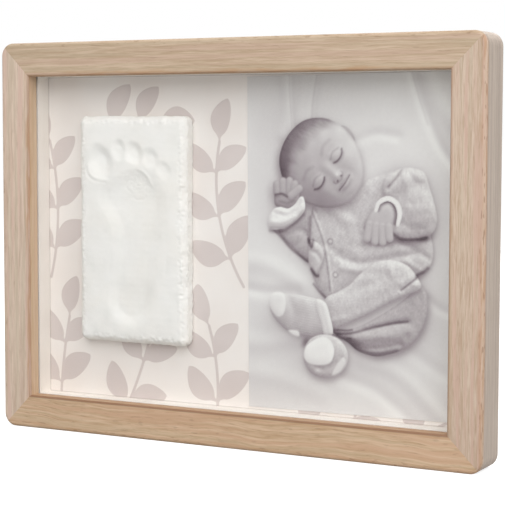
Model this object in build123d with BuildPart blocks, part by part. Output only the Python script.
from build123d import *
import math
import os

# A deep box frame in pale wood. Behind its clear pane a clay slab with a baby's footprint and
# a photo print stand side by side on a printed card. A back board closes the frame, held by
# turn buttons, and a sawtooth hanger lets it hang on a wall. It also stands on its flat base.
# Millimetres. +X is to the right seen from the front, +Y to the back and +Z up.
# The origin is the middle of the flat underside, halfway between the front and back faces.

# Photo print, the height that the opening is made for
print_width = 100.0
print_height = 148.0
print_thickness = 0.25
print_tilt = 0.5
print_margin_top = 0.6
print_margin_bottom = 1.8
print_side_margin = 1.6

# Clay slab and the room that it has in the opening
slab_width = 58.5
slab_height = 105.4
slab_rise = 4.2
slab_margin_left = 21.4
slab_margin_right = 28.5
slab_pane_gap = 1.1
slab_corner_radius = 3.5
slab_front_round = 2.4
slab_back_bevel = 0.8

# Wooden moulding
moulding_width = 15.6
frame_depth = 20.0
corner_radius = 6.0
lip_thickness = 6.5
rabbet_width = 5.0
front_round = 1.6
sight_round = 0.8
back_bevel = 0.8

# Sheets behind the lip, from the front to the back
pane_thickness = 1.2
card_thickness = 0.5
board_thickness = 3.0
board_inset = 0.2
sheet_clearance = 0.4
sheet_corner_radius = 1.5
lining_clearance = 0.3

# Tape under the slab and under the print
slab_tape_thickness = 0.3
slab_tape_width = 12.0
slab_tape_count = 3
print_tape_thickness = 0.1
print_tape_width = 9.0
print_tape_count = 2
tape_length_share = 0.8
tape_spread_share = 0.35

# Steel V-nails pressed across each mitre from behind
wedge_leg = 5.0
wedge_thickness = 0.5
wedge_half_angle = 30.0
wedge_depth = 7.0
wedge_inset = 3.5

# Turn buttons and their screws
button_thickness = 0.8
button_head_radius = 4.5
button_nose_radius = 2.4
button_reach = 9.6
button_running_gap = 0.1
button_bore_clearance = 0.05
button_spread = 140.0
screw_inset = 5.0
screw_shank_radius = 1.3
screw_length = 10.0
screw_point_length = 2.5
screw_head_radius = 2.9
screw_head_height = 1.6
pilot_clearance = 0.05
pilot_spare_depth = 0.5

# Sawtooth hanger and its nails
hanger_length = 46.0
hanger_width = 8.0
hanger_inset = 5.0
hanger_thickness = 0.8
hanger_foot = 7.0
hanger_ramp = 2.5
hanger_lift = 2.0
hanger_bend_radius = 0.6
hanger_end_radius = 2.0
tooth_pitch = 2.6
tooth_depth = 1.7
tooth_count = 11
nail_shank_radius = 0.7
nail_head_radius = 1.7
nail_head_height = 0.6
nail_length = 8.0
nail_point_length = 1.5
nail_bore_clearance = 0.05

# Cutters run this far past the face that they leave through
overrun = 2.0

# Sizes that follow from the ones above
opening_width = slab_margin_left + slab_width + slab_margin_right + print_width + print_side_margin
opening_height = print_height + print_margin_top + print_margin_bottom
frame_width = opening_width + 2 * moulding_width
frame_height = opening_height + 2 * moulding_width
rabbet_opening_width = opening_width + 2 * rabbet_width
rabbet_opening_height = opening_height + 2 * rabbet_width
sheet_width = rabbet_opening_width - 2 * sheet_clearance
sheet_height = rabbet_opening_height - 2 * sheet_clearance
board_front = frame_depth - board_inset - board_thickness
card_front = board_front - card_thickness
lining_front = lip_thickness + pane_thickness
lining_depth = card_front - lining_front
lining_thickness = rabbet_width - lining_clearance
slab_thickness = lining_depth - slab_tape_thickness - slab_pane_gap
slab_middle = slab_margin_left + slab_width / 2 - opening_width / 2
print_middle = opening_width / 2 - print_side_margin - print_width / 2
print_rise = (print_margin_bottom - print_margin_top) / 2
slab_front = card_front - slab_tape_thickness - slab_thickness
print_front = card_front - print_tape_thickness - print_thickness

back = (0, 1, 0)
front = (0, -1, 0)


def layer(depth):
    """Plane facing the front, centred on the opening, at a depth behind the front face."""
    return Plane(
        origin=(0, depth - frame_depth / 2, frame_height / 2),
        x_dir=(1, 0, 0),
        z_dir=front,
    )


def behind(height):
    """Y of a place at a height above the wood's back face."""
    return frame_depth / 2 + height


# Screw places, seen from the front, with the way that each closed button points
button_row = frame_height / 2 - screw_inset
button_column = frame_width / 2 - screw_inset
turn_buttons = {
    "turn_button_top_left": (-button_spread / 2, button_row, 180),
    "turn_button_top_right": (button_spread / 2, button_row, 180),
    "turn_button_bottom_left": (-button_spread / 2, -button_row, 0),
    "turn_button_bottom_right": (button_spread / 2, -button_row, 0),
    "turn_button_left": (-button_column, 0, -90),
    "turn_button_right": (button_column, 0, 90),
}
screw_places = [(across, up) for across, up, turn in turn_buttons.values()]

hanger_row = frame_height / 2 - hanger_inset
nail_column = hanger_length / 2 - hanger_foot / 2
nail_places = [(-nail_column, hanger_row), (nail_column, hanger_row)]


def draw_wedges():
    """Draw the four V-nails in the sketch in hand, each fold towards its corner."""
    angle = math.radians(wedge_half_angle)
    along = (-math.cos(angle), math.sin(angle))
    inwards = (-math.sin(angle), -math.cos(angle))
    tip = (wedge_leg * along[0], wedge_leg * along[1])
    inner_tip = (
        tip[0] + wedge_thickness * inwards[0],
        tip[1] + wedge_thickness * inwards[1],
    )
    inner_fold = (-wedge_thickness / math.sin(angle), 0)
    for side in (-1, 1):
        for level in (-1, 1):
            place = (
                side * (frame_width / 2 - wedge_inset),
                level * (frame_height / 2 - wedge_inset),
                0,
            )
            turn = math.degrees(math.atan2(level, side))
            with Locations(Location(place, (0, 0, turn))):
                Polygon(
                    (0, 0),
                    tip,
                    inner_tip,
                    inner_fold,
                    (inner_tip[0], -inner_tip[1]),
                    (tip[0], -tip[1]),
                    align=None,
                )


# Whole ring of moulding: a lip in front, a rabbet behind it and eased edges, with the slots
# for the V-nails and the pilot holes for the screws and the hanger's nails
with BuildPart() as moulding_ring:
    with BuildSketch(layer(0)):
        RectangleRounded(frame_width, frame_height, corner_radius)
        Rectangle(opening_width, opening_height, mode=Mode.SUBTRACT)
    extrude(amount=frame_depth, dir=back)
    front_face = moulding_ring.faces().sort_by(Axis.Y)[0]
    back_face = moulding_ring.faces().sort_by(Axis.Y)[-1]
    fillet(front_face.outer_wire().edges(), front_round)
    chamfer(back_face.outer_wire().edges(), back_bevel)
    sight_edges = moulding_ring.faces().sort_by(Axis.Y)[0].inner_wires()[0].edges()
    fillet(sight_edges, sight_round)
    with BuildSketch(layer(lip_thickness)):
        Rectangle(rabbet_opening_width, rabbet_opening_height)
    extrude(amount=frame_depth, dir=back, mode=Mode.SUBTRACT)
    with BuildSketch(layer(frame_depth)):
        draw_wedges()
    extrude(amount=wedge_depth, dir=front, mode=Mode.SUBTRACT)
    with BuildSketch(layer(frame_depth)):
        with Locations(*screw_places):
            Circle(screw_shank_radius + pilot_clearance)
    extrude(amount=screw_length + pilot_spare_depth, dir=front, mode=Mode.SUBTRACT)
    with BuildSketch(layer(frame_depth)):
        with Locations(*nail_places):
            Circle(nail_shank_radius + pilot_clearance)
    extrude(amount=nail_length + pilot_spare_depth, dir=front, mode=Mode.SUBTRACT)


def mitre_wedge(side, level):
    """Corners of the wedge between two mitres: side for a stile, level for a rail."""
    outer_x = frame_width / 2 + overrun
    outer_z = frame_height / 2 + overrun
    inner_x = frame_width / 2 - moulding_width - overrun
    inner_z = frame_height / 2 - moulding_width - overrun
    if level:
        return [
            (-outer_x, level * outer_z),
            (outer_x, level * outer_z),
            (inner_x, level * inner_z),
            (-inner_x, level * inner_z),
        ]
    return [
        (side * outer_x, outer_z),
        (side * outer_x, -outer_z),
        (side * inner_x, -inner_z),
        (side * inner_x, inner_z),
    ]


os.makedirs("parts", exist_ok=True)

# Four mitred lengths of the moulding
lengths = {
    "top_rail": (0, 1),
    "bottom_rail": (0, -1),
    "left_stile": (-1, 0),
    "right_stile": (1, 0),
}
for label, (side, level) in lengths.items():
    with BuildPart() as length:
        add(moulding_ring.part)
        with BuildSketch(layer(0)):
            Polygon(*mitre_wedge(side, level), align=None)
        extrude(amount=frame_depth, dir=back, mode=Mode.INTERSECT)
    length.part.label = label
    export_step(length.part, f"parts/{label}.step")

# V-nails, flush with the wood's back face
with BuildPart() as corner_wedges:
    with BuildSketch(layer(frame_depth)):
        draw_wedges()
    extrude(amount=wedge_depth, dir=front)
corner_wedges.part.label = "corner_wedges"
export_step(corner_wedges.part, "parts/corner_wedges.step")

# Clear pane against the back of the lip
with BuildPart() as clear_pane:
    with BuildSketch(layer(lip_thickness)):
        RectangleRounded(sheet_width, sheet_height, sheet_corner_radius)
    extrude(amount=pane_thickness, dir=back)
clear_pane.part.label = "clear_pane"
export_step(clear_pane.part, "parts/clear_pane.step")

# Lining strips, flush with the lip, that hold the card back from the pane
long_strip = opening_width + 2 * lining_thickness
strips = {
    "lining_top": (0, (opening_height + lining_thickness) / 2, long_strip, lining_thickness),
    "lining_bottom": (0, -(opening_height + lining_thickness) / 2, long_strip, lining_thickness),
    "lining_left": (-(opening_width + lining_thickness) / 2, 0, lining_thickness, opening_height),
    "lining_right": ((opening_width + lining_thickness) / 2, 0, lining_thickness, opening_height),
}
for label, (across, up, strip_width, strip_height) in strips.items():
    with BuildPart() as strip:
        with BuildSketch(layer(lining_front)):
            with Locations((across, up)):
                Rectangle(strip_width, strip_height)
        extrude(amount=lining_depth, dir=back)
    strip.part.label = label
    export_step(strip.part, f"parts/{label}.step")

# Printed card on the back board
with BuildPart() as printed_card:
    with BuildSketch(layer(card_front)):
        RectangleRounded(sheet_width, sheet_height, sheet_corner_radius)
    extrude(amount=card_thickness, dir=back)
printed_card.part.label = "printed_card"
export_step(printed_card.part, "parts/printed_card.step")

with BuildPart() as back_board:
    with BuildSketch(layer(board_front)):
        RectangleRounded(sheet_width, sheet_height, sheet_corner_radius)
    extrude(amount=board_thickness, dir=back)
back_board.part.label = "back_board"
export_step(back_board.part, "parts/back_board.step")

# Photo print, put in by hand and so a little out of true, on two upright strips of tape
print_place = Location((print_middle, print_rise, 0), (0, 0, print_tilt))
with BuildPart() as photo_print:
    with BuildSketch(layer(print_front)):
        with Locations(print_place):
            Rectangle(print_width, print_height)
    extrude(amount=print_thickness, dir=back)
photo_print.part.label = "photo_print"
export_step(photo_print.part, "parts/photo_print.step")

with BuildPart() as print_tape:
    with BuildSketch(layer(print_front + print_thickness)):
        with Locations(print_place):
            with GridLocations(2 * tape_spread_share * print_width, 0, print_tape_count, 1):
                Rectangle(print_tape_width, tape_length_share * print_height)
    extrude(amount=print_tape_thickness, dir=back)
print_tape.part.label = "print_tape"
export_step(print_tape.part, "parts/print_tape.step")

# Tape that holds the slab on the card
with BuildPart() as slab_tape:
    with BuildSketch(layer(slab_front + slab_thickness)):
        with Locations((slab_middle, slab_rise)):
            with GridLocations(0, tape_spread_share * slab_height, 1, slab_tape_count):
                Rectangle(tape_length_share * slab_width, slab_tape_width)
    extrude(amount=slab_tape_thickness, dir=back)
slab_tape.part.label = "slab_tape"
export_step(slab_tape.part, "parts/slab_tape.step")

# Footprint: each dent has its middle, half its width, half its length, its turn and its depth.
# Places and half sizes are shares of the foot's length, and depths are shares of the deepest
# one. The foot's middle is the slab's middle.
foot_length_share = 0.812
deepest_dent = 2.4
foot_length = foot_length_share * slab_height
foot_shares = {
    "big_toe": (-0.198, 0.372, 0.066, 0.096, 14, 1.0),
    "second_toe": (-0.076, 0.450, 0.040, 0.048, 6, 0.72),
    "third_toe": (0.024, 0.420, 0.048, 0.067, -12, 0.8),
    "fourth_toe": (0.124, 0.398, 0.041, 0.050, -26, 0.66),
    "little_toe": (0.208, 0.340, 0.035, 0.045, -32, 0.55),
    "ball": (0.010, 0.222, 0.112, 0.205, 86, 0.62),
    "outer_edge": (0.064, -0.020, 0.132, 0.300, 4, 0.48),
    "heel": (0.020, -0.345, 0.128, 0.165, 0, 0.72),
}


def dent(across_share, up_share, half_width_share, half_length_share, turn, depth_share):
    """Round-ended bar that lies in front of the slab and sinks into its face as a soft dent."""
    depth = depth_share * deepest_dent
    half_width = half_width_share * foot_length
    half_straight = half_length_share * foot_length - half_width
    radius = (half_width**2 + depth**2) / (2 * depth)
    middle = layer(slab_front - radius + depth) * Location(
        (slab_middle + across_share * foot_length, slab_rise + up_share * foot_length, 0)
    )
    bar_plane = Plane(
        origin=middle.position,
        x_dir=front,
        z_dir=(-math.cos(math.radians(turn)), 0, -math.sin(math.radians(turn))),
    )
    with BuildPart() as bar:
        with BuildSketch(bar_plane):
            with BuildLine():
                Line((radius, -half_straight), (radius, half_straight))
                CenterArc((0, half_straight), radius, 0, 90)
                Line((0, half_straight + radius), (0, -half_straight - radius))
                CenterArc((0, -half_straight), radius, -90, 90)
            make_face()
        revolve(axis=Axis(bar_plane.origin, bar_plane.y_dir))
    return bar.part


dents = [dent(*shares) for shares in foot_shares.values()]

# Clay slab with soft edges and the footprint pressed into its face
with BuildPart() as clay_print:
    with BuildSketch(layer(slab_front)):
        with Locations((slab_middle, slab_rise)):
            RectangleRounded(slab_width, slab_height, slab_corner_radius)
    extrude(amount=slab_thickness, dir=back)
    slab_face = clay_print.faces().sort_by(Axis.Y)[0]
    slab_back = clay_print.faces().sort_by(Axis.Y)[-1]
    fillet(slab_face.outer_wire().edges(), slab_front_round)
    chamfer(slab_back.outer_wire().edges(), slab_back_bevel)
    for pressed in dents:
        add(pressed, mode=Mode.SUBTRACT)
clay_print.part.label = "clay_print"
export_step(clay_print.part, "parts/clay_print.step")

# Turn buttons: a round head on the screw and a narrower nose over the back board
for label, (across, up, turn) in turn_buttons.items():
    with BuildPart() as turn_button:
        with BuildSketch(layer(frame_depth + button_running_gap)):
            with Locations(Location((across, up, 0), (0, 0, turn))):
                with BuildSketch(mode=Mode.PRIVATE) as button_outline:
                    Circle(button_head_radius)
                    with Locations((0, button_reach)):
                        Circle(button_nose_radius)
                    make_hull()
                add(button_outline.sketch)
                Circle(screw_shank_radius + button_bore_clearance, mode=Mode.SUBTRACT)
        extrude(amount=button_thickness, dir=back)
    turn_button.part.label = label
    export_step(turn_button.part, f"parts/{label}.step")

# Pan-head wood screw, along +Y from its point to its head, with the wood's face at zero
screw_head_under = 2 * button_running_gap + button_thickness
with BuildPart() as screw:
    with BuildSketch(Plane.XY):
        Polygon(
            (0, -screw_length),
            (screw_shank_radius, screw_point_length - screw_length),
            (screw_shank_radius, screw_head_under),
            (screw_head_radius, screw_head_under),
            (screw_head_radius, screw_head_under + screw_head_height),
            (0, screw_head_under + screw_head_height),
            align=None,
        )
    revolve(axis=Axis.Y)

with BuildPart() as turn_button_screws:
    with Locations(*[(across, behind(0), frame_height / 2 + up) for across, up in screw_places]):
        add(screw.part)
turn_button_screws.part.label = "turn_button_screws"
export_step(turn_button_screws.part, "parts/turn_button_screws.step")

# Sawtooth hanger: a strip with two feet on the wood and a raised, toothed bridge between them
bridge_half = hanger_length / 2 - hanger_foot - hanger_ramp
foot_half = hanger_length / 2 - hanger_foot
with BuildPart() as wall_hanger:
    with BuildSketch(Plane.XY.offset(frame_height / 2 + hanger_row - hanger_width / 2)):
        with BuildLine():
            Polyline(
                (-hanger_length / 2, behind(0)),
                (-foot_half, behind(0)),
                (-bridge_half, behind(hanger_lift)),
                (bridge_half, behind(hanger_lift)),
                (foot_half, behind(0)),
                (hanger_length / 2, behind(0)),
                (hanger_length / 2, behind(hanger_thickness)),
                (foot_half, behind(hanger_thickness)),
                (bridge_half, behind(hanger_lift + hanger_thickness)),
                (-bridge_half, behind(hanger_lift + hanger_thickness)),
                (-foot_half, behind(hanger_thickness)),
                (-hanger_length / 2, behind(hanger_thickness)),
                close=True,
            )
        make_face()
    extrude(amount=hanger_width)
    bends = wall_hanger.edges().filter_by(Axis.Z).sort_by(Axis.X)[2:-2]
    fillet(bends, hanger_bend_radius)
    ends = wall_hanger.edges().filter_by(Axis.Y).group_by(Axis.X)
    fillet(ends[0] + ends[-1], hanger_end_radius)
    with BuildSketch(layer(frame_depth)):
        with Locations((0, hanger_row - hanger_width / 2)):
            with GridLocations(tooth_pitch, 0, tooth_count, 1):
                Polygon(
                    (-tooth_pitch / 2, 0),
                    (0, tooth_depth),
                    (tooth_pitch / 2, 0),
                    align=None,
                )
    extrude(amount=hanger_lift + hanger_thickness + overrun, dir=back, mode=Mode.SUBTRACT)
    with BuildSketch(layer(frame_depth)):
        with Locations(*nail_places):
            Circle(nail_shank_radius + nail_bore_clearance)
    extrude(amount=hanger_thickness + overrun, dir=back, mode=Mode.SUBTRACT)
wall_hanger.part.label = "wall_hanger"
export_step(wall_hanger.part, "parts/wall_hanger.step")

# Hanger nail, along +Y from its point to its head, with the wood's face at zero
with BuildPart() as nail:
    with BuildSketch(Plane.XY):
        Polygon(
            (0, -nail_length),
            (nail_shank_radius, nail_point_length - nail_length),
            (nail_shank_radius, hanger_thickness),
            (nail_head_radius, hanger_thickness),
            (nail_head_radius, hanger_thickness + nail_head_height),
            (0, hanger_thickness + nail_head_height),
            align=None,
        )
    revolve(axis=Axis.Y)

with BuildPart() as hanger_nails:
    with Locations(*[(across, behind(0), frame_height / 2 + up) for across, up in nail_places]):
        add(nail.part)
hanger_nails.part.label = "hanger_nails"
export_step(hanger_nails.part, "parts/hanger_nails.step")
